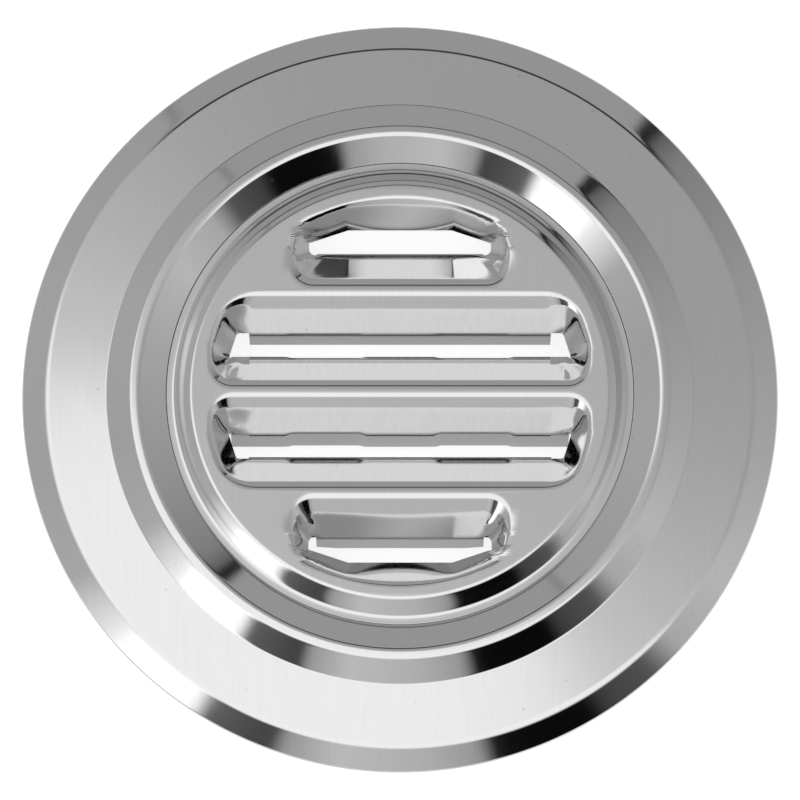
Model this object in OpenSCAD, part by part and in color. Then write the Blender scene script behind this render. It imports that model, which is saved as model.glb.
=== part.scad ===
// Floor drain grate: a pressed ring that lies on the floor round the drain, a slotted grate
// that lifts out of it, and the spring strap that is crimped under the grate.
// +Z is up, +X runs along the slots. The origin is on the centre line, level with the rim's foot.

/* [Floor ring] */
// Diameter over the rim
ring_d = 150; // [140:1:180]
// Upright lip at the rim's foot
lip_h = 0.7; // [0.4:0.1:1.5]
// Width of the sloping rim
rim_w = 4.8; // [3:0.1:7]
// Height of the crease above the sloping rim
rim_h = 3.3; // [2.5:0.1:4]
// Rise of the flat flange from the rim's crease to the step
flange_rise = 1.1; // [0.4:0.1:1.6]
// Width of the step that climbs to the crest
step_w = 4.4; // [3:0.1:6]
// Height of the crest over the rim's foot
crest_h = 8.2; // [7.4:0.1:9.5]
// Width of the crest
crest_w = 2.0; // [1:0.1:4]
// Width of the slope from the crest down to the grate
dish_w = 5.3; // [4:0.1:7]
// Width of the ledge that the grate lies on
ledge_w = 3.8; // [3:0.1:5]
// Depth of the collar below the rim's foot
collar_depth = 12; // [11:0.5:30]

/* [Sheet] */
// Thickness of the pressed sheet
sheet_t = 0.6; // [0.5:0.05:0.8]
// Outside radius of the creases
crease_r = 1.2; // [0.9:0.1:1.6]

/* [Grate] */
// Diameter of the grate
grate_d = 92.2; // [90:0.2:96]
// Gap round the grate in the ring
seam_gap = 0.15; // [0.1:0.05:0.4]
// Gap between the grate and the ledge below it
seat_gap = 0.05; // [0.02:0.01:0.1]
// Height of the grate's flat edge over the rim's foot
edge_h = 5.0; // [4.4:0.1:5.6]
// Width of the grate's flat edge
edge_w = 0.9; // [0.6:0.1:1.5]
// Width of the slope from the edge up to the lands
rise_w = 4.2; // [3:0.1:5]
// Height of the lands over the rim's foot
land_h = 7.4; // [6.6:0.1:8.4]
// Height of the slots' edges over the rim's foot
slot_h = 0.8; // [0.5:0.1:2]
// Share of a trough's wall that is rounded over at its top
shoulder = 0.3; // [0.15:0.05:0.45]

/* [Slots] */
// Width of each slot
slot_w = 5.0; // [4.4:0.1:5.6]
// Distance from the centre line to the near edge of the middle slots
mid_slot_y = 7.6; // [7.4:0.1:8]
// Length of the middle slots at their near edge
mid_slot_l = 68; // [62:1:70]
// Length of the middle slots at their far edge
mid_slot_far_l = 64.8; // [58:0.2:66]
// Distance from the centre line to the near edge of the end slots
end_slot_y = 28.4; // [28:0.1:29]
// Length of the end slots at their near edge
end_slot_l = 36.2; // [32:0.2:38]
// Length of the end slots at their far edge
end_slot_far_l = 20.6; // [16:0.2:24]
// Width of the flat on the middle land
mid_land_w = 0.8; // [0.4:0.1:1.2]
// Distance from the centre line to the crest of the outer lands
outer_land_y = 20.2; // [19.6:0.1:20.8]
// Width of the flat on the outer lands
outer_land_w = 0.6; // [0.4:0.1:1.2]
// Radius of the near corners of the end slots
slot_corner_r = 1.2; // [0.8:0.1:1.5]
// Run of the wall at the ends of the troughs
end_wall_w = 4.0; // [3:0.1:4.4]

/* [Flanges] */
// Length of the flanges folded down from the near edges of the middle slots
flange_l = 8.0; // [6:0.1:9]
// Length of the shorter flaps at the other slot edges
flap_l = 6.6; // [4:0.1:8]
// Angle of the flanges and flaps below the horizontal
flap_angle = 82; // [78:1:86]
// Gap between a flange's end and the slot's end
flange_end_gap = 0.4; // [0.3:0.1:1]
// Gap between the far flap's end and the slot's end
flap_end_gap = 2.0; // [1:0.1:3]
// Distance of the crimps from the middle, along the slots
crimp_x = 14.7; // [13:0.1:16]
// Length of a crimp
crimp_l = 14.3; // [12:0.1:16]
// Depth of a crimp
crimp_depth = 0.6; // [0.4:0.05:0.8]

/* [Spring strap] */
// Thickness of the spring strip
strip_t = 0.8; // [0.6:0.05:1]
// Gap between the strip's edges and the crimped flanges
strip_side_gap = 0.1; // [0.05:0.01:0.2]
// Gap between the strip's top and the slots' edge level
strip_drop = 0.5; // [0.4:0.05:1]
// Radius of the bend at the top of a leg
leg_bend_r = 1.6; // [1.2:0.1:2.2]
// Gap between a leg's bow and the collar
leg_gap = 0.3; // [0.2:0.05:0.6]
// Depth of a leg's bow below the strap
bow_depth = 6.5; // [5:0.1:8]
// Depth of a leg's tip below its bow
tip_depth = 3.6; // [2:0.1:4]
// How far a leg's tip and root stand in from its bow
bow_out = 1.3; // [0.8:0.1:1.6]
// Gap between the strap's end and the leg's rolled root
root_gap = 0.1; // [0.05:0.01:0.2]

/* [Hidden] */
$fn = 96;

STEEL = [0.80, 0.81, 0.82];
SPRING_STEEL = [0.66, 0.67, 0.69];

// Grate, from its edge inwards
grate_r = grate_d / 2;
foot_r = grate_r - edge_w;
land_r = foot_r - rise_w;
trough_r = land_r - 1.8;
mid_far_y = mid_slot_y + slot_w;
end_far_y = end_slot_y + slot_w;
mid_start_y = mid_land_w / 2;
mid_end_y = outer_land_y - outer_land_w / 2;
end_start_y = outer_land_y + outer_land_w / 2;

// Ring, from the grate outwards
seat_r = grate_r + seam_gap;
ledge_h = edge_h - sheet_t - seat_gap;
crest_in_r = seat_r + dish_w;
crest_out_r = crest_in_r + crest_w;
step_r = crest_out_r + step_w;
rim_in_r = ring_d / 2 - rim_w;
collar_bore_r = seat_r - ledge_w;

// Flanges
wall_angle = atan((land_h - slot_h) / (mid_slot_y - mid_start_y) / (1 - shoulder / 2));
fold_angle = (wall_angle + flap_angle) / 2;
fold_l = 1.0;

// Strap and legs, whose edges stand clear of the flanges and of the round collar
strip_top = slot_h - strip_drop;
strip_mid = strip_top - strip_t / 2;
strip_gap_y = mid_slot_y - sheet_t * sin(fold_angle);
strip_w = 2 * (strip_gap_y - strip_side_gap);
notch_w = strip_w - 2 * crimp_depth;
leg_w = notch_w;
bow_x = sqrt(pow(collar_bore_r - leg_gap, 2) - pow(leg_w / 2, 2)) - strip_t / 2;
leg_root_x = bow_x - bow_out - leg_bend_r;
root_d = strip_t + 0.1;

// ---- Outlines of bent sheet ----------------------------------------------------------------

function unit(v) = v / norm(v);
function left_of(v) = [-v[1], v[0]];

// A path moved sideways to its left by d, its corners mitred
function moved(path, d) = [
    for (i = [0 : len(path) - 1])
        let (
            into = unit(path[max(i, 1)] - path[max(i, 1) - 1]),
            out = unit(path[min(i, len(path) - 2) + 1] - path[min(i, len(path) - 2)]),
            side = unit(left_of(into) + left_of(out))
        )
        path[i] + side * d / (side * left_of(into))
];

// One corner b of a path a, b, c, rounded to radius r in the given number of steps
function rounded(a, b, c, r, steps = 4) =
    let (
        u = unit(a - b),
        v = unit(c - b),
        half = acos(max(-1, min(1, u * v))) / 2,
        reach = r / tan(half),
        centre = b + unit(u + v) * r / sin(half),
        from = b + u * reach - centre,
        turn = (u[0] * v[1] - u[1] * v[0] > 0 ? -1 : 1) * (180 - 2 * half)
    )
    [for (k = [0 : steps])
        let (w = turn * k / steps)
        centre + [from[0] * cos(w) - from[1] * sin(w), from[0] * sin(w) + from[1] * cos(w)]];

// A path with each corner rounded to its own radius; 0 leaves a corner sharp
function smoothed(path, radii) = [
    for (i = [0 : len(path) - 1])
        for (p = i == 0 || i == len(path) - 1 || radii[i] <= 0
                ? [path[i]]
                : rounded(path[i - 1], path[i], path[i + 1], radii[i]))
            p
];

// Whether a path turns left at corner i
function turns_left(path, i) =
    let (into = path[i] - path[i - 1], out = path[i + 1] - path[i])
    into[0] * out[1] - into[1] * out[0] > 0;

// Radii of the far face of a sheet t thick that lies to the left of a path
function far_radii(path, radii, t) = [
    for (i = [0 : len(path) - 1])
        i == 0 || i == len(path) - 1 ? 0
            : turns_left(path, i) ? max(0, radii[i] - t) : radii[i] + t
];

// Outline of a sheet t thick whose near face follows the path and whose metal lies to its left
function sheet_outline(path, radii, t) =
    let (
        near = smoothed(path, radii),
        far = smoothed(moved(path, t), far_radii(path, radii, t))
    )
    concat(near, [for (i = [len(far) - 1 : -1 : 0]) far[i]]);

// ---- Floor ring ------------------------------------------------------------------------------

// The ring's upper face from the rim's foot in to the collar's lower end, as [radius, height]
ring_path = [
    [ring_d / 2, 0],
    [ring_d / 2, lip_h],
    [rim_in_r, rim_h],
    [step_r, rim_h + flange_rise],
    [crest_out_r, crest_h - 0.2],
    [crest_in_r, crest_h],
    [seat_r, edge_h],
    [seat_r, ledge_h],
    [collar_bore_r, ledge_h],
    [collar_bore_r, -collar_depth]
];
ring_radii = [0, sheet_t + 0.1, crease_r, 0.9, crease_r, crease_r, 0.25, 0.1, 0.9, 0];

module floor_ring() {
    color(STEEL)
        rotate_extrude($fn = 180)
            polygon(sheet_outline(ring_path, ring_radii, sheet_t));
}

// ---- Grate -----------------------------------------------------------------------------------
// The grate is one pressed sheet. Its upper face is a height over the plane; a grid of rows
// along X and columns across them follows the slots' edges, and its cells are left out where a
// slot is open. The rows inside a slot hang down from its edges as flanges and flaps.

function eased(t) = t <= 0 ? 0 : t >= 1 ? 1 : t * t * (3 - 2 * t);
function between(v, v0, v1, w0, w1) =
    w0 + (w1 - w0) * max(0, min(1, (v - v0) / (v1 - v0)));
function chord(r, y) = sqrt(max(0, r * r - y * y));

// Depth of a trough's wall as a share, from 0 at its top to 1 at the slot
function wall_depth(f) =
    (f <= 0 ? 0 : f < shoulder ? f * f / (2 * shoulder) : f - shoulder / 2) / (1 - shoulder / 2);

// Half length of the slots at distance y from the centre line. The end slots' near corners
// are rounded.
function mid_slot_x(y) = between(y, mid_slot_y, mid_far_y, mid_slot_l, mid_slot_far_l) / 2;
function end_slot_x(y) =
    between(y, end_slot_y, end_far_y, end_slot_l, end_slot_far_l) / 2
        - (y > end_slot_y ? 0 : slot_corner_r);

// Half length of the troughs at distance y, kept inside the lands' rim
function mid_trough_x(y) = min(mid_slot_x(y) + end_wall_w, chord(trough_r + 1.2, y));
function end_trough_x(y) = min(end_slot_l / 2 + end_wall_w, chord(trough_r, y));

// Share of the way down a wall: fx from the trough's end, fy from its side
function down(fx, fy) =
    fx > 1 && fy > 1 ? min(fx, fy) : 1 - norm([max(0, 1 - fx), max(0, 1 - fy)]);

function mid_trough(x, y) =
    down(
        (mid_trough_x(y) - x) / (mid_trough_x(y) - mid_slot_x(y)),
        min((y - mid_start_y) / (mid_slot_y - mid_start_y), (mid_end_y - y) / (mid_end_y - mid_far_y))
    );

function end_trough(x, y) =
    let (side_y = max(chord(trough_r, x), end_far_y + 1))
    down(
        (end_trough_x(y) - x) / max(1, end_trough_x(y) - end_slot_x(y)),
        min((y - end_start_y) / (end_slot_y - end_start_y), (side_y - y) / (side_y - end_far_y))
    );

// Height of the upper face
function plain_height(r) = edge_h + (land_h - edge_h) * eased((foot_r - r) / (foot_r - land_r));
function height(x, y) =
    let (
        ax = abs(x),
        ay = abs(y),
        top = plain_height(norm([x, y])),
        f = max(mid_trough(ax, ay), end_trough(ax, ay))
    )
    top - (top - slot_h) * wall_depth(f);

// Rows from the centre line outwards, as [y, edge, drop]. Edge 1 is a slot's near edge and 2 its
// far edge, and drop is how far down a flange or flap the row lies. Edge 0 is the plain sheet.
WALL_SHARES = [0, 0.1, 0.2, 0.32, 0.7];
function wall_rows(y0, y1) = [for (f = WALL_SHARES) [y0 + (y1 - y0) * f, 0, 0]];
function reversed(list) = [for (i = [len(list) - 1 : -1 : 0]) list[i]];

RISE_SHARES = [0, 0.25, 0.5, 0.75, 1];

rows_out = concat(
    wall_rows(mid_start_y, mid_slot_y),
    [
        [mid_slot_y, 1, 0],
        [mid_slot_y + slot_w * 0.22, 1, fold_l],
        [mid_slot_y + slot_w * 0.44, 1, flange_l],
        [mid_far_y - slot_w * 0.44, 2, flap_l],
        [mid_far_y - slot_w * 0.22, 2, fold_l],
        [mid_far_y, 2, 0]
    ],
    reversed(wall_rows(mid_end_y, mid_far_y)),
    wall_rows(end_start_y, end_slot_y),
    [
        [end_slot_y, 1, 0],
        [end_slot_y + slot_corner_r, 1, fold_l],
        [end_slot_y + slot_w * 0.55, 1, flap_l],
        [end_far_y, 2, 0]
    ],
    reversed(wall_rows(trough_r, end_far_y)),
    [for (f = RISE_SHARES) [land_r + rise_w * f, 0, 0]],
    [for (turn = [81.5, 83.8, 86]) [grate_r * sin(turn), 0, 0]]
);
rows = concat(
    [for (row = reversed(rows_out)) [-row[0], row[1], row[2]]],
    [[0, 0, 0]],
    rows_out
);

// Columns from the centre outwards: the flanges' stretch with the crimps, then the slot's end,
// the trough's end wall, and rings round the rise and the edge
CRIMP_TURN = 0.5;
flange_stops = [
    0,
    crimp_x - crimp_l / 2 - CRIMP_TURN,
    crimp_x - crimp_l / 2 + CRIMP_TURN,
    crimp_x + crimp_l / 2 - CRIMP_TURN,
    crimp_x + crimp_l / 2 + CRIMP_TURN
];
END_SHARES = [0.35, 0.65, 0.85, 1];
ring_radii_out = concat([for (f = RISE_SHARES) land_r + rise_w * f], [grate_r]);
FLANGE_COL = len(flange_stops);
SLOT_COL = FLANGE_COL + 1;
TROUGH_COL = SLOT_COL + len(END_SHARES);
LAST_COL = TROUGH_COL + len(ring_radii_out);

// Half length of a row at distance y inside the circle of radius r. Past the end slots the
// circles draw together towards the grate's edge.
function ring_x(r, y) =
    let (held_y = min(y, trough_r - 3))
    chord(r, held_y) * chord(grate_r, y) / chord(grate_r, held_y);

// Half lengths along the row at distance y, out to the slot's end and to the trough's end
function slot_end(y) =
    y <= mid_end_y ? mid_slot_x(y)
        : y <= end_far_y ? end_slot_x(y)
            : end_slot_far_l / 2 * chord(grate_r, y) / chord(grate_r, end_far_y);
function trough_end(y) =
    y <= mid_end_y ? mid_trough_x(y)
        : y <= end_far_y ? end_trough_x(y)
            : end_trough_x(end_far_y) * chord(grate_r, y) / chord(grate_r, end_far_y);
function flange_end(row) =
    let (y = abs(row[0]))
    y >= end_slot_y && y < end_far_y
        ? between(row[2], 0, flap_l, slot_end(end_slot_y) - flange_end_gap, end_slot_far_l / 2)
        : slot_end(y) * (1 - (y > mid_far_y - slot_w / 2 ? flap_end_gap : flange_end_gap)
            / (mid_slot_l / 2));

function column_x(row, col) =
    let (y = abs(row[0]))
    col < FLANGE_COL ? flange_stops[col] * flange_end(row) / (mid_slot_l / 2 - flange_end_gap)
        : col == FLANGE_COL ? flange_end(row)
        : col == SLOT_COL ? slot_end(y)
        : col <= TROUGH_COL
            ? slot_end(y) + (trough_end(y) - slot_end(y)) * END_SHARES[col - SLOT_COL - 1]
            : ring_x(ring_radii_out[col - TROUGH_COL - 1], y);

// How far a row is pushed in at the crimps, as a share of the crimps' depth
function crimp_share(row) =
    let (y = abs(row[0]))
    y > mid_slot_y + slot_w / 2 ? 0
        : row[1] == 1 ? between(row[2], 0, flange_l, 1, 0.45)
        : between(y, mid_slot_y * 0.5, mid_slot_y, 0, 0.5);
function crimp(row, col) = col == 2 || col == 3 ? crimp_depth * crimp_share(row) : 0;

// Upper face of the sheet, and its normal, at a row and a column counted from the centre
function hangs(row, col) = row[1] > 0 && col <= FLANGE_COL;
function toward_slot(row) = (row[0] < 0 ? -1 : 1) * (row[1] == 1 ? 1 : -1);
function edge_y(row) =
    let (y = abs(row[0]))
    (row[0] < 0 ? -1 : 1) * (
        y < (mid_slot_y + mid_far_y) / 2 ? mid_slot_y
            : y < (mid_far_y + end_slot_y) / 2 ? mid_far_y
                : y < end_far_y ? end_slot_y : end_far_y
    );
function hang_offset(drop) =
    let (bend = min(drop, fold_l), rest = max(0, drop - fold_l))
    [bend * cos(fold_angle) + rest * cos(flap_angle),
        -bend * sin(fold_angle) - rest * sin(flap_angle)];
function hang_angle(drop) =
    drop <= 0 ? (wall_angle + fold_angle) / 2
        : drop <= fold_l ? (fold_angle + flap_angle) / 2 : flap_angle;

function side(row) = row[0] < 0 ? -1 : 1;
function point_on(row, col) =
    let (
        c = abs(col),
        x = (col < 0 ? -1 : 1) * column_x(row, c),
        hang = hang_offset(row[2])
    )
    hangs(row, c)
        ? [x, edge_y(row) + toward_slot(row) * hang[0] - side(row) * crimp(row, c),
            slot_h + hang[1]]
        : [x, row[0] - side(row) * crimp(row, c), height(x, row[0])];

STEP = 0.05;
function slope_normal(x, y) =
    unit([
        height(x - STEP, y) - height(x + STEP, y),
        height(x, y - STEP) - height(x, y + STEP),
        2 * STEP
    ]);
function normal_on(row, col) =
    let (
        c = abs(col),
        angle = hang_angle(row[2]),
        x = (col < 0 ? -1 : 1) * column_x(row, c)
    )
    hangs(row, c) && !(row[1] == 2 && row[2] == 0 && abs(row[0]) == end_far_y)
        ? [0, toward_slot(row) * sin(angle), cos(angle)]
        : slope_normal(x, row[0]);

// Whether the cell between two neighbouring rows and two neighbouring columns holds metal
function has_metal(j, col) =
    let (
        e0 = rows[j][1],
        e1 = rows[j + 1][1],
        inner = max(abs(col), abs(col + 1)),
        in_slot = e0 > 0 && e1 > 0
    )
    !in_slot || inner > SLOT_COL || (e0 == e1 && inner <= FLANGE_COL);

module grate() {
    cols = 2 * LAST_COL + 1;
    count = len(rows) * cols;
    upper = [for (row = rows) for (col = [-LAST_COL : LAST_COL]) point_on(row, col)];
    lower = [
        for (j = [0 : len(rows) - 1])
            for (col = [-LAST_COL : LAST_COL])
                upper[j * cols + col + LAST_COL] - sheet_t * normal_on(rows[j], col)
    ];
    // Cell (j, i) has its corner at row j and column number i, counted from the left
    function metal(j, i) =
        j >= 0 && j < len(rows) - 1 && i >= 0 && i < cols - 1 && has_metal(j, i - LAST_COL);
    function faces(j, i) =
        let (a = j * cols + i, b = a + 1, c = b + cols, d = a + cols)
        concat(
            [[a, d, c], [a, c, b], [a + count, c + count, d + count], [a + count, b + count, c + count]],
            [
                for (edge = [[a, b, j - 1, i], [b, c, j, i + 1], [c, d, j + 1, i], [d, a, j, i - 1]])
                    if (!metal(edge[2], edge[3]))
                        for (f = [[edge[0], edge[1], edge[1] + count],
                                [edge[0], edge[1] + count, edge[0] + count]])
                            f
            ]
        );
    color(STEEL)
        polyhedron(
            points = concat(upper, lower),
            faces = [
                for (j = [0 : len(rows) - 2])
                    for (i = [0 : cols - 2])
                        if (metal(j, i))
                            for (f = faces(j, i))
                                f
            ]
        );
}

// ---- Spring strap and its legs ---------------------------------------------------------------

// Strip that lies under the middle land, notched where the crimps hold it
module spring_strap() {
    end_x = leg_root_x - root_d / 2 - root_gap;
    color(SPRING_STEEL)
        translate([0, 0, strip_top - strip_t])
            linear_extrude(strip_t)
                difference() {
                    square([2 * end_x, strip_w], center = true);
                    for (sx = [-1, 1], sy = [-1, 1])
                        translate([sx * crimp_x, sy * strip_w / 2])
                            square([crimp_l + 1, strip_w - notch_w], center = true);
                    for (sx = [-1, 1], sy = [-1, 1])
                        translate([sx * end_x, sy * strip_w / 2])
                            square([2 * leg_bend_r + 2, strip_w - notch_w], center = true);
                }
}

// Middle line of a leg from its rolled root, down past its bow to its tip, as [x, z]
leg_path = [
    [leg_root_x, strip_mid],
    [leg_root_x + leg_bend_r, strip_mid],
    [bow_x, strip_mid - bow_depth],
    [bow_x - bow_out, strip_mid - bow_depth - tip_depth]
];

module spring_leg() {
    face = moved(leg_path, -strip_t / 2);
    color(SPRING_STEEL)
        rotate([90, 0, 0])
            translate([0, 0, -leg_w / 2])
                linear_extrude(leg_w) {
                    polygon(sheet_outline(face, [0, leg_bend_r, leg_bend_r, 0], strip_t));
                    translate(leg_path[0])
                        circle(d = root_d, $fn = 32);
                }
}

module right_spring_leg() {
    spring_leg();
}

module left_spring_leg() {
    mirror([1, 0, 0])
        spring_leg();
}

floor_ring();
grate();
spring_strap();
left_spring_leg();
right_spring_leg();
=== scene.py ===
import math

import bmesh
import bpy
import numpy as np
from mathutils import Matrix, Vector


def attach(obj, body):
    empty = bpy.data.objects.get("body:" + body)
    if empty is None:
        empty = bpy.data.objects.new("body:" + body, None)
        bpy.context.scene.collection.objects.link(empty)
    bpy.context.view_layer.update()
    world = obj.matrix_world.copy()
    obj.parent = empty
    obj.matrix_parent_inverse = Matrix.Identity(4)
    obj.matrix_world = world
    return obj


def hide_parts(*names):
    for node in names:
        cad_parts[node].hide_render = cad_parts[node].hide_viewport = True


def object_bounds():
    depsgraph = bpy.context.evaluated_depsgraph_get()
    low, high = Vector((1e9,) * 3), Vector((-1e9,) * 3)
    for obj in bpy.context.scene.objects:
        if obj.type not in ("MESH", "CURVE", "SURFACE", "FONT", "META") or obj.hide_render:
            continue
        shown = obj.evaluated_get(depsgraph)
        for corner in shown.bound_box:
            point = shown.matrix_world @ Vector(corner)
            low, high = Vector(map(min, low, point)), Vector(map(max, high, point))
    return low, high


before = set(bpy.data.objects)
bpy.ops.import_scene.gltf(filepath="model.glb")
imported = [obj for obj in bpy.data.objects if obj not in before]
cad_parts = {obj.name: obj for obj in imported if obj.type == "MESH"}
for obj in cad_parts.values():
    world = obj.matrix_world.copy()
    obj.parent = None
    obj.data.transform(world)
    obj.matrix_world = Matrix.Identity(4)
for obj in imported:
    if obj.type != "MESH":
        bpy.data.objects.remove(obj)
cad_low, cad_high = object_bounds()

# --- Camera -------------------------------------------------------------------------------------
# A long lens almost straight above the drain, on a stand that leans a little to the front.
# The lens is as long as its height over the drain and the width that it takes in ask for.
CAMERA_TILT = math.radians(9.5)
CAMERA_REACH = 1.3
VIEW_WIDTH = 0.1588
AIM_DROP = 0.00071
SENSOR_WIDTH = 36.0
CLIP_END = 10.0

camera_data = bpy.data.cameras.new("camera")
camera_data.sensor_width = SENSOR_WIDTH
camera_data.lens = SENSOR_WIDTH * CAMERA_REACH / VIEW_WIDTH
camera_data.clip_end = CLIP_END
camera = bpy.data.objects.new("camera", camera_data)
camera.location = (
    0,
    -CAMERA_REACH * math.sin(CAMERA_TILT) - AIM_DROP,
    CAMERA_REACH * math.cos(CAMERA_TILT),
)
camera.rotation_euler = (CAMERA_TILT, 0, 0)
bpy.context.scene.collection.objects.link(camera)
bpy.context.scene.camera = camera

# --- Studio -------------------------------------------------------------------------------------
# A light tent: a bright ceiling that fades to the back, a grey card behind the drain, and at the
# front a bright window, dark gaps and pale cloth. All of it is the world, so that it lights evenly.
bpy.context.scene.view_settings.view_transform = "Standard"

# Share of the light that polished stainless steel gives back
METAL_SHARE = 0.78


def level(value):
    """Brightness of the tent that polished steel shows as this grey, of 255."""
    v = value / 255
    return (v / 12.92 if v < 0.04045 else ((v + 0.055) / 1.055) ** 2.4) / METAL_SHARE


world = bpy.data.worlds.new("light_tent")
bpy.context.scene.world = world
world.use_nodes = True
tree = world.node_tree
tree.nodes.clear()


def node(kind, inputs=(), **settings):
    """A node of the tree in hand, with its settings and its inputs by number or name."""
    made = tree.nodes.new(kind)
    for name, value in settings.items():
        setattr(made, name, value)
    for key, value in dict(inputs).items():
        if isinstance(value, bpy.types.NodeSocket):
            tree.links.new(value, made.inputs[key])
        else:
            made.inputs[key].default_value = value
    return made


def maths(operation, *values):
    return node("ShaderNodeMath", enumerate(values), operation=operation).outputs[0]


def mix(factor, a, b):
    """The number a where the factor is 0, and b where it is 1."""
    return node("ShaderNodeMix", {0: factor, 2: a, 3: b}, data_type="FLOAT").outputs[0]


def ramp(value, stops):
    """A grey for each value from 0 to 1, from stops of (place, grey)."""
    made = node("ShaderNodeValToRGB", {0: value})
    elements = made.color_ramp.elements
    elements.remove(elements[-1])
    for i, (place, grey) in enumerate(stops):
        stop = elements[0] if i == 0 else elements.new(place)
        stop.position = place
        stop.color = (grey, grey, grey, 1)
    return made.outputs[0]


direction = node("ShaderNodeTexCoord").outputs["Generated"]
parts = node("ShaderNodeSeparateXYZ", {0: direction}).outputs
turn = maths("MULTIPLY", maths("ARCTAN2", parts[1], parts[0]), 0.5 / math.pi)
turn = maths("FRACT", maths("ADD", turn, 1.0))
height = maths("MULTIPLY", maths("ARCSINE", parts[2]), 2 / math.pi)

# Grey of the tent's walls at each compass angle, counted from +X towards +Y
WALLS = [
    (0, 163), (30, 145), (48, 125), (52, 95), (53.5, 20), (55, 20), (56, 146),
    (121, 146), (122, 110), (123, 150), (155, 160), (180, 157), (200, 165), (212, 235),
    (214, 262), (230, 262), (233, 90), (246, 60), (248.5, 150), (258, 185), (275, 172),
    (285, 150), (288, 8), (307, 8), (310, 60), (320, 80), (326, 165), (340, 180), (360, 163),
]
walls = ramp(turn, [(angle / 360, level(grey)) for angle, grey in WALLS])

# Brightness of the ceiling, from the front left to the back right
LEAN_TO_RIGHT, LEAN_START = 0.6, 0.5
CEILING = [
    (0, 1.1), (0.45, 1.06), (0.5, 0.98), (0.56, 0.69),
    (0.66, 0.55), (0.77, 0.45), (0.85, 0.41), (1, 0.39),
]
lean = maths("ADD", maths("MULTIPLY", parts[0], LEAN_TO_RIGHT), maths("ADD", parts[1], LEAN_START))
ceiling = ramp(lean, CEILING)

# The ceiling meets the walls softly, apart from the dark slit above the card at the back.
# Heights go from 0 at the horizon to 1 overhead.
WALLS_TOP, CEILING_START = 0.50, 0.66
SLIT_TURNS = [(0, 0), (50, 0), (56, 1), (119, 1), (126, 0), (360, 0)]
SLIT_HEIGHTS = [(0, 0), (0.51, 0), (0.54, 1), (0.60, 1), (CEILING_START, 0), (1, 0)]
SLIT_GREY = 38
soft_join = node(
    "ShaderNodeMapRange", {0: height, 1: WALLS_TOP, 2: CEILING_START}, interpolation_type="SMOOTHSTEP"
).outputs[0]
tent = mix(soft_join, walls, ceiling)
slit = maths(
    "MULTIPLY",
    ramp(turn, [(angle / 360, share) for angle, share in SLIT_TURNS]),
    ramp(height, SLIT_HEIGHTS),
)
tent = mix(slit, tent, level(SLIT_GREY))

lit_tent = node("ShaderNodeBackground", {0: tent, 1: 1.0})
white = node("ShaderNodeBackground", {0: (1, 1, 1, 1), 1: 1.0})
rays = node("ShaderNodeLightPath").outputs
seen = node("ShaderNodeMixShader", {
    0: rays["Is Camera Ray"], 1: lit_tent.outputs[0], 2: white.outputs[0],
})
node("ShaderNodeOutputWorld", {0: seen.outputs[0]})

# --- Floor --------------------------------------------------------------------------------------
# A pale matt table under the drain's collar. The camera sees it as white apart from the drain's
# shadow, and the steel sees a dimmer glow of it.
TABLE_HALF = 1.5
TABLE_GREY = 0.8
GLOW_TO_CAMERA = 0.8
GLOW_TO_METAL = 0.3

floor_mesh = bpy.data.meshes.new("floor")
bm = bmesh.new()
bmesh.ops.create_grid(bm, x_segments=1, y_segments=1, size=TABLE_HALF)
bmesh.ops.translate(bm, verts=bm.verts, vec=(0, 0, cad_low.z))
bm.to_mesh(floor_mesh)
bm.free()
floor = bpy.data.objects.new("floor", floor_mesh)
bpy.context.scene.collection.objects.link(floor)

pale_table = bpy.data.materials.new("pale_table")
pale_table.use_nodes = True
tree = pale_table.node_tree
tree.nodes.clear()
paper = node("ShaderNodeBsdfDiffuse", {0: (TABLE_GREY, TABLE_GREY, TABLE_GREY, 1)})
rays = node("ShaderNodeLightPath").outputs
glow_strength = mix(
    rays["Is Camera Ray"], maths("MULTIPLY", rays["Is Glossy Ray"], GLOW_TO_METAL), GLOW_TO_CAMERA
)
glow = node("ShaderNodeEmission", {0: (1, 1, 1, 1), 1: glow_strength})
table = node("ShaderNodeAddShader", {0: paper.outputs[0], 1: glow.outputs[0]})
node("ShaderNodeOutputMaterial", {0: table.outputs[0]})
floor_mesh.materials.append(pale_table)

# --- Floor ring ---------------------------------------------------------------------------------
# One pressing of thin polished stainless sheet: a turned-down rim, a flat flange, a crest, and a
# slope down to the ledge that carries the grate. Its collar hangs in the drain.
MM = 0.001
SHEET = 0.6
RING_R = 75.0
SEAT_R = 46.25
BORE_R = 42.45
LEDGE_H = 4.35
COLLAR_DEPTH = 12.0
RIM_ROUND = 4.0
CREST_ROUND = 1.9
ROUND_STEPS = 12
RING_STEPS = 360
SHARP_TURN = math.radians(40)
# Upper face from the rim's foot to the collar's end, as (radius, height, rounding)
RING_FACE = [
    (RING_R, 0.0, 0),
    (RING_R, 0.7, 0.7),
    (70.2, 3.3, RIM_ROUND),
    (57.95, 4.4, 1.2),
    (53.55, 8.0, CREST_ROUND),
    (51.55, 8.2, CREST_ROUND),
    (SEAT_R, 5.0, 0.25),
    (SEAT_R, LEDGE_H, 0.1),
    (BORE_R, LEDGE_H, 0.9),
    (BORE_R, -COLLAR_DEPTH, 0),
]

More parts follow.
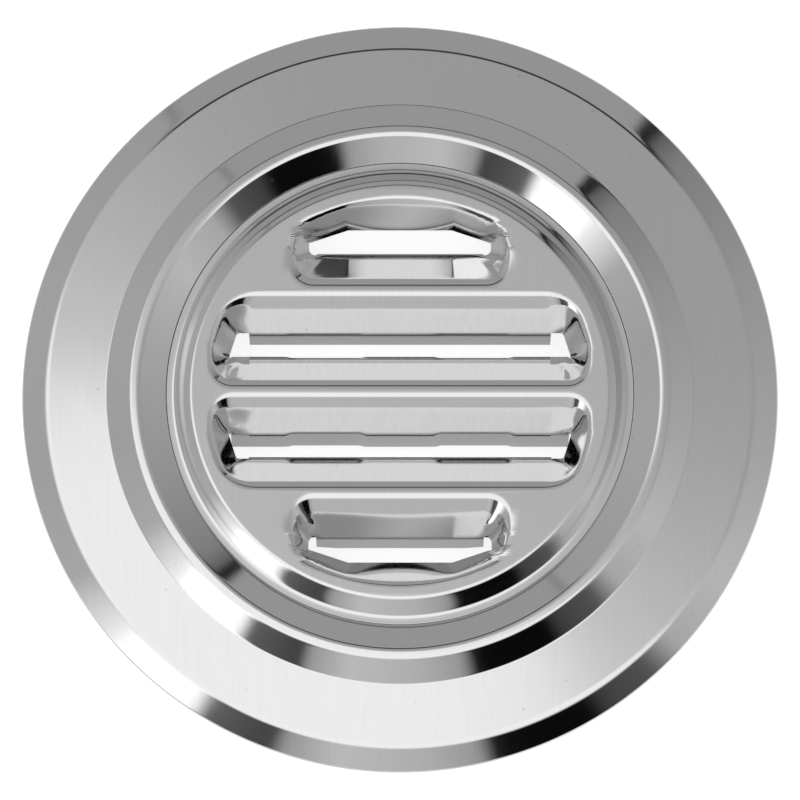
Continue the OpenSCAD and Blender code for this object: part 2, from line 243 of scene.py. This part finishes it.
# Finish of the sheet, shared by every metal here: streaks from rolling, a slight waviness from
# the press, grain, and specks. Scales are counts to the metre.
STREAK_SCALE = (1500, 90, 400)
WAVE_SCALE, GRAIN_SCALE, SPECK_SCALE = 60.0, 2600.0, 170.0
SPECK_CORE, SPECK_EDGE = 0.03, 0.07
PLAIN_ROUGHNESS = 0.03
STREAK_ROUGHNESS, GRAIN_ROUGHNESS, WEAR_ROUGHNESS, SPECK_ROUGHNESS = 0.05, 0.04, 0.2, 0.12
PLAIN_SHADE, STREAK_SHADE, SPECK_SHADE = 1.03, 0.06, 0.10
WAVE_STRENGTH, WAVE_RELIEF = 0.35, 0.00012
STREAK_STRENGTH, STREAK_RELIEF = 0.10, 0.00001
STREAK_PART, GRAIN_PART = 0.7, 0.3

sheet_finish = bpy.data.node_groups.new("sheet_finish", "ShaderNodeTree")
sheet_finish.interface.new_socket("Position", in_out="INPUT", socket_type="NodeSocketVector")
sheet_finish.interface.new_socket("Wear", in_out="INPUT", socket_type="NodeSocketFloat")
sheet_finish.interface.new_socket("Roughness", in_out="OUTPUT", socket_type="NodeSocketFloat")
sheet_finish.interface.new_socket("Shade", in_out="OUTPUT", socket_type="NodeSocketFloat")
sheet_finish.interface.new_socket("Normal", in_out="OUTPUT", socket_type="NodeSocketVector")
tree = sheet_finish
given = node("NodeGroupInput").outputs
position = given["Position"]


def noise(place, scale, detail):
    return node("ShaderNodeTexNoise", {"Vector": place, "Scale": scale, "Detail": detail}).outputs["Fac"]


stretched = node("ShaderNodeMapping", {0: position, 3: STREAK_SCALE}).outputs[0]
streaks = noise(stretched, 1.0, 3.0)
waves = noise(position, WAVE_SCALE, 1.0)
grain = noise(position, GRAIN_SCALE, 2.0)
cells = node("ShaderNodeTexVoronoi", {"Vector": position, "Scale": SPECK_SCALE}).outputs["Distance"]
specks = node("ShaderNodeMapRange", {0: cells, 1: SPECK_CORE, 2: SPECK_EDGE, 3: 1.0, 4: 0.0}).outputs[0]

roughness = maths("ADD", maths("MULTIPLY", streaks, STREAK_ROUGHNESS), PLAIN_ROUGHNESS)
roughness = maths("ADD", roughness, maths("MULTIPLY", grain, GRAIN_ROUGHNESS))
roughness = maths("ADD", roughness, maths("MULTIPLY", given["Wear"], WEAR_ROUGHNESS))
roughness = maths("ADD", roughness, maths("MULTIPLY", specks, SPECK_ROUGHNESS))
shade = maths("SUBTRACT", PLAIN_SHADE, maths("MULTIPLY", streaks, STREAK_SHADE))
shade = maths("SUBTRACT", shade, maths("MULTIPLY", specks, SPECK_SHADE))
wavy = node("ShaderNodeBump", {
    "Strength": WAVE_STRENGTH, "Distance": WAVE_RELIEF, "Height": waves,
}).outputs[0]
fine = maths("ADD", maths("MULTIPLY", streaks, STREAK_PART), maths("MULTIPLY", grain, GRAIN_PART))
streaky = node("ShaderNodeBump", {
    "Strength": STREAK_STRENGTH, "Distance": STREAK_RELIEF, "Height": fine, "Normal": wavy,
}).outputs[0]
node("NodeGroupOutput", {"Roughness": roughness, "Shade": shade, "Normal": streaky})


def metal(name, grey, wear):
    """A sheet metal of this grey; wear dulls it."""
    global tree
    made = bpy.data.materials.new(name)
    made.use_nodes = True
    tree = made.node_tree
    place = node("ShaderNodeTexCoord").outputs["Object"]
    sheet = node("ShaderNodeGroup", node_tree=sheet_finish)
    tree.links.new(place, sheet.inputs["Position"])
    sheet.inputs["Wear"].default_value = wear
    colour = node("ShaderNodeVectorMath", {0: (grey, grey, grey)}, operation="SCALE")
    tree.links.new(sheet.outputs["Shade"], colour.inputs["Scale"])
    shader = tree.nodes["Principled BSDF"]
    shader.inputs["Metallic"].default_value = 1.0
    tree.links.new(colour.outputs[0], shader.inputs["Base Color"])
    tree.links.new(sheet.outputs["Roughness"], shader.inputs["Roughness"])
    tree.links.new(sheet.outputs["Normal"], shader.inputs["Normal"])
    return made


polished_sheet = metal("polished_sheet", METAL_SHARE, 0.0)


def pointing(a, b):
    """Unit vector from point a of a (across, up, rounding) line to point b."""
    return (Vector(b[:2]) - Vector(a[:2])).normalized()


def other_face(points, thick):
    """The line of points moved to its left by the sheet's thickness."""
    last = len(points) - 1
    moved = []
    for i, (x, z, r) in enumerate(points):
        into = pointing(points[max(i, 1) - 1], points[max(i, 1)])
        out = pointing(points[min(i, last - 1)], points[min(i, last - 1) + 1])
        left = Vector((-into.y, into.x))
        side = (left + Vector((-out.y, out.x))).normalized()
        p = Vector((x, z)) + side * (thick / side.dot(left))
        if 0 < i < last:
            r = max(0, r - thick) if into.cross(out) > 0 else r + thick
        moved.append((p.x, p.y, r))
    return moved


def closed_line(bm, points):
    """A closed line of vertices through (across, up, rounding) points, its corners rounded."""
    verts = [bm.verts.new((x * MM, 0, z * MM)) for x, z, r in points]
    for i, v in enumerate(verts):
        bm.edges.new((verts[i - 1], v))
    for i, (v, point) in enumerate(zip(verts, points)):
        if point[2] > 0:
            before = pointing(point, points[i - 1])
            after = pointing(point, points[(i + 1) % len(points)])
            reach = point[2] * MM / math.tan(before.angle(after) / 2)
            bmesh.ops.bevel(bm, geom=[v], offset=reach, offset_type="OFFSET", segments=ROUND_STEPS,
                            profile=0.5, affect="VERTICES", material=-1)


def spun(bm, steps):
    """Turns the line of vertices once round the drain's centre line."""
    bmesh.ops.spin(bm, geom=bm.verts[:] + bm.edges[:], cent=(0, 0, 0), axis=(0, 0, 1), dvec=(0, 0, 0),
                   angle=math.tau, steps=steps, use_merge=True)


def shaded(bm):
    """Shades the faces smooth, apart from the sheet's cut edges and sharp folds."""
    for f in bm.faces:
        f.smooth = True
    for e in bm.edges:
        e.smooth = e.calc_face_angle(math.pi) < SHARP_TURN


def piece(name, bm, body, material, *replaced):
    """Makes the object of a finished mesh, which rides on its body."""
    mesh = bpy.data.meshes.new(name)
    bm.to_mesh(mesh)
    bm.free()
    made = bpy.data.objects.new(name, mesh)
    bpy.context.scene.collection.objects.link(made)
    mesh.materials.append(material)
    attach(made, body)
    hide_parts(*replaced)
    return made


bm = bmesh.new()
closed_line(bm, RING_FACE + other_face(RING_FACE, SHEET)[::-1])
spun(bm, RING_STEPS)
bmesh.ops.recalc_face_normals(bm, faces=bm.faces)
shaded(bm)
ring = piece("floor_ring_sheet", bm, "ring", polished_sheet, "floor_ring")

# --- Grate --------------------------------------------------------------------------------------
# The slotted disc: one pressing of the same sheet that lies in the ring. Four troughs are drawn
# down between the lands, and the sheet at the slots' edges is folded down as flanges and flaps.
EDGE_R, FOOT_R, LAND_R = 46.1, 45.2, 41.0
EDGE_H, LAND_H, SLOT_H = 5.0, 7.4, 0.8
TROUGH_R = 39.2
# Near and far edges of the middle slots and of the end slots, and their half lengths there
MID_Y, MID_FAR_Y, END_Y, END_FAR_Y = 7.6, 12.6, 28.4, 33.4
MID_HALF, MID_FAR_HALF, END_HALF, END_FAR_HALF = 34.0, 32.4, 18.1, 10.3
END_SIDE = 2.4
MID_CORNER_R, CORNER_R = 0.5, 1.2
# Where the troughs' walls start, and how they end
MID_START, MID_END, END_START = 0.4, 19.9, 20.5
END_WALL, SHOULDER, TROUGH_CORNER = 4.0, 0.3, 5.0


def eased(t):
    t = np.clip(t, 0, 1)
    return t * t * (3 - 2 * t)


def chord(r, y):
    return np.sqrt(np.maximum(0, r * r - y * y))


def corner_cut(depth, r):
    """How far a round corner of radius r takes back a slot's end at this depth into the slot."""
    return r - chord(r, np.clip(r - depth, 0, r))


def mid_slot_x(y):
    ends = np.interp(y, [MID_Y, MID_FAR_Y], [MID_HALF, MID_FAR_HALF])
    return ends - corner_cut(y - MID_Y, MID_CORNER_R) - corner_cut(MID_FAR_Y - y, MID_CORNER_R)


def end_slot_x(y):
    ends = np.interp(y, [END_Y + END_SIDE, END_FAR_Y], [END_HALF, END_FAR_HALF])
    return ends - corner_cut(y - END_Y, CORNER_R)


def in_slot(p):
    x, y = abs(p.x), abs(p.y)
    in_mid = MID_Y < y < MID_FAR_Y and x < mid_slot_x(y)
    return in_mid or (END_Y < y < END_FAR_Y and x < end_slot_x(y))


def slot_gap(x, y, corners):
    """Distance to a slot whose edges in one quarter run through the corners."""
    inside = np.full(x.shape, np.inf)
    gap = np.full(x.shape, np.inf)
    for (ax, ay), (bx, by) in zip(corners, corners[1:]):
        vx, vy = bx - ax, by - ay
        long = math.hypot(vx, vy)
        inside = np.minimum(inside, (-vy * (x - ax) + vx * (y - ay)) / long)
        along = np.clip(((x - ax) * vx + (y - ay) * vy) / long ** 2, 0, 1)
        gap = np.minimum(gap, np.hypot(x - ax - along * vx, y - ay - along * vy))
    return np.where(inside >= 0, 0, gap)


def trough_gap(dx, dy):
    """Distance in from a trough's outline, whose corners are rounded."""
    u, v = TROUGH_CORNER - dx, TROUGH_CORNER - dy
    round_part = np.hypot(np.maximum(0, u), np.maximum(0, v))
    return TROUGH_CORNER - round_part - np.minimum(0, np.maximum(u, v))


def wall_depth(from_top, from_slot):
    """Depth on a trough's wall as a share, from its distances to the outline and to the slot."""
    across = from_top / np.maximum(from_top + from_slot, 1e-9)
    f = np.where(from_top <= 0, 0, across)
    return np.where(f < SHOULDER, f * f / (2 * SHOULDER), f - SHOULDER / 2) / (1 - SHOULDER / 2)


CORNER_TURNS = [0, 22.5, 45, 67.5, 90]
MID_CORNERS = [(0, MID_Y), (MID_HALF, MID_Y), (MID_FAR_HALF, MID_FAR_Y), (0, MID_FAR_Y)]
END_CORNERS = [
    (0, END_Y),
    *[
        (END_HALF - CORNER_R * (1 - math.sin(math.radians(t))),
         END_Y + CORNER_R * (1 - math.cos(math.radians(t))))
        for t in CORNER_TURNS
    ],
    (END_HALF, END_Y + END_SIDE),
    (END_FAR_HALF, END_FAR_Y),
    (0, END_FAR_Y),
]


def pressed(x, y):
    """Height of the grate's upper face at each place."""
    ax, ay, r = abs(x), abs(y), np.hypot(x, y)
    top = EDGE_H + (LAND_H - EDGE_H) * eased((FOOT_R - r) / (FOOT_R - LAND_R))
    from_round = TROUGH_R - r
    mid = wall_depth(
        trough_gap(
            np.minimum(MID_HALF + END_WALL - ax, from_round),
            np.minimum(ay - MID_START, MID_END - ay),
        ),
        slot_gap(ax, ay, MID_CORNERS),
    )
    end = wall_depth(
        trough_gap(END_HALF + END_WALL - ax, np.minimum(ay - END_START, from_round)),
        slot_gap(ax, ay, END_CORNERS),
    )
    return top - (top - SLOT_H) * np.maximum(mid, end)


def stops_filled(stops, counts):
    """The stops with each stretch between two of them divided into its count of steps."""
    filled = [np.linspace(a, b, n + 1)[1:] for a, b, n in zip(stops, stops[1:], counts)]
    return np.concatenate([stops[:1], *filled])


def mirrored(values):
    return np.concatenate([-values[:0:-1], values])


# The lands and troughs are a grid whose rows and columns follow the slots' edges, out to a circle
GRID_R = 40.9
LAST_ROW_Y = 40.2
ROW_STOPS = [
    0, MID_START, MID_Y, MID_Y + MID_CORNER_R, MID_FAR_Y - MID_CORNER_R, MID_FAR_Y, MID_END,
    END_START, END_Y, END_Y + 2 * CORNER_R, END_FAR_Y, TROUGH_R, LAST_ROW_Y,
]
ROW_COUNTS = [1, 16, 4, 4, 4, 16, 1, 16, 8, 6, 16, 3]
# Columns within the slots' length, on the troughs' end walls, and out to the circle
COLUMN_COUNTS = [50, 18, 6]
TOP_SLOT_SHARE, END_WALL_SHARE, PAST_WALL = 0.6, 0.8, 1.0


def column_x(y):
    """Places of the columns on the row at distance y, from the middle out to the circle."""
    last = float(chord(GRID_R, y))
    slot = float(mid_slot_x(y) if y <= (MID_END + END_START) / 2 else end_slot_x(y))
    if y > END_FAR_Y:
        slot = min(slot, TOP_SLOT_SHARE * last)
    out = min(slot + END_WALL + PAST_WALL, slot + END_WALL_SHARE * (last - slot))
    return stops_filled([0, slot, out, last], COLUMN_COUNTS)


row_y = mirrored(stops_filled(ROW_STOPS, ROW_COUNTS))
column_places = [mirrored(column_x(abs(y))) for y in row_y]
row_steps, column_steps = len(row_y) - 1, 2 * sum(COLUMN_COUNTS)
bm = bmesh.new()
bmesh.ops.create_grid(bm, x_segments=column_steps, y_segments=row_steps, size=1)
for v in bm.verts:
    i = round((v.co.x + 1) / 2 * column_steps)
    j = round((v.co.y + 1) / 2 * row_steps)
    v.co = (column_places[j][i], row_y[j], 0)
places = np.array([v.co for v in bm.verts])
for v, z in zip(bm.verts, pressed(places[:, 0], places[:, 1])):
    v.co.z = z
bmesh.ops.delete(bm, geom=[f for f in bm.faces if in_slot(f.calc_center_median())], context="FACES")

# The rise outside them is round, so it is spun, and the two are joined
JOIN_R = LAND_R
RISE_STEPS = 20
RISE_TURNS = 320
NEAR = 0.01
rise_r = np.append(np.linspace(JOIN_R, FOOT_R, RISE_STEPS), EDGE_R)
rise = bmesh.new()
line = [rise.verts.new((r, 0, z)) for r, z in zip(rise_r, pressed(rise_r, np.zeros(len(rise_r))))]
for a, b in zip(line, line[1:]):
    rise.edges.new((a, b))
spun(rise, RISE_TURNS)
rise_mesh = bpy.data.meshes.new("rise")
rise.to_mesh(rise_mesh)
rise.free()
bm.from_mesh(rise_mesh)
bpy.data.meshes.remove(rise_mesh)


def on_join(v):
    """Whether a vertex lies on the grid's outer edge or on the foot of the rise."""
    outside = v.co.xy.length > GRID_R - NEAR or abs(v.co.y) > LAST_ROW_Y - NEAR
    return outside and v.co.z > LAND_H - NEAR


join = [e for e in bm.edges if e.is_boundary and all(on_join(v) for v in e.verts)]
bmesh.ops.triangle_fill(bm, use_beauty=True, use_dissolve=False, edges=join, normal=(0, 0, 1))

# Flanges and flaps, each folded down from a slot's edge in short steps
FLAP_ANGLE = math.radians(82)
WALL_ANGLE = math.atan((LAND_H - SLOT_H) / (MID_Y - MID_START) / (1 - SHOULDER / 2))
FOLD_STEPS, HANG_STEPS = 6, 6
FOLD_LONG, FLANGE_LONG, FLAP_LONG = 1.0, 8.0, 6.6
FLANGE_GAP, FAR_FLAP_GAP, END_FLAP_GAP = 0.4, 1.9, 0.1
END_FLAP_HALF = 13.0
CRIMP_X, CRIMP_LONG, CRIMP_DEEP, CRIMP_TURN = 14.7, 14.3, 0.6, 1.0
# Share of the crimps' depth that is left at the flange's free edge
CRIMP_FREE = 0.45


def crimp_depth(x, step):
    """How far a flange is pushed in at this place along it, so many steps down."""
    along = eased((CRIMP_LONG / 2 + CRIMP_TURN / 2 - abs(abs(x) - CRIMP_X)) / CRIMP_TURN)
    lost = (1 - CRIMP_FREE) * max(0, step - FOLD_STEPS) / HANG_STEPS
    return CRIMP_DEEP * along * (eased(step / FOLD_STEPS) - lost)


def fold_down(edge_y, toward, half, long, crimped=False, free_half=None):
    """Folds the sheet down at the edge row y; toward is the side on which the slot lies."""
    low = [
        e for e in bm.edges
        if e.is_boundary and all(abs(v.co.y - edge_y) < 1e-4 and abs(v.co.x) < half for v in e.verts)
    ]
    for step in range(1, FOLD_STEPS + HANG_STEPS + 1):
        made = bmesh.ops.extrude_edge_only(bm, edges=low)["geom"]
        low = [g for g in made if isinstance(g, bmesh.types.BMEdge)]
        if step <= FOLD_STEPS:
            angle = WALL_ANGLE + (FLAP_ANGLE - WALL_ANGLE) * (step - 0.5) / FOLD_STEPS
            length = FOLD_LONG / FOLD_STEPS
        else:
            angle = FLAP_ANGLE
            length = (long - FOLD_LONG) / HANG_STEPS
        for v in [g for g in made if isinstance(g, bmesh.types.BMVert)]:
            v.co.y += toward * length * math.cos(angle)
            v.co.z -= length * math.sin(angle)
            if crimped:
                v.co.y -= toward * (crimp_depth(v.co.x, step) - crimp_depth(v.co.x, step - 1))
    if free_half:
        for v in {v for e in low for v in e.verts}:
            v.co.x *= free_half / half


for side in (-1, 1):
    fold_down(side * MID_Y, side, MID_HALF - FLANGE_GAP, FLANGE_LONG, crimped=True)
    fold_down(side * MID_FAR_Y, -side, MID_FAR_HALF - FAR_FLAP_GAP, FLAP_LONG)
    fold_down(side * END_Y, side, END_HALF - CORNER_R - END_FLAP_GAP, FLAP_LONG,
              free_half=END_FLAP_HALF)

# The upper face is finished, and the sheet gets its thickness below it
bmesh.ops.recalc_face_normals(bm, faces=bm.faces)
if sum(f.normal.z for f in bm.faces) < 0:
    bmesh.ops.reverse_faces(bm, faces=bm.faces)
bmesh.ops.solidify(bm, geom=bm.faces[:], thickness=SHEET)
bmesh.ops.scale(bm, vec=(MM, MM, MM), verts=bm.verts)
bmesh.ops.recalc_face_normals(bm, faces=bm.faces)
shaded(bm)
grate = piece("grate_sheet", bm, "grate", polished_sheet, "grate")

# --- Spring strap and legs ----------------------------------------------------------------------
# A strip of rolled spring steel under the middle land, held by the crimped flanges, with a bent
# leg at each end. The legs hang on the strap's rolled ends and bow out against the collar.
STRIP_GREY, STRIP_WEAR = 0.52, 0.9
spring_strip = metal("spring_strip", STRIP_GREY, STRIP_WEAR)
for name in ("spring_strap", "left_spring_leg", "right_spring_leg"):
    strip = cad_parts[name]
    strip.data.materials.clear()
    strip.data.materials.append(spring_strip)
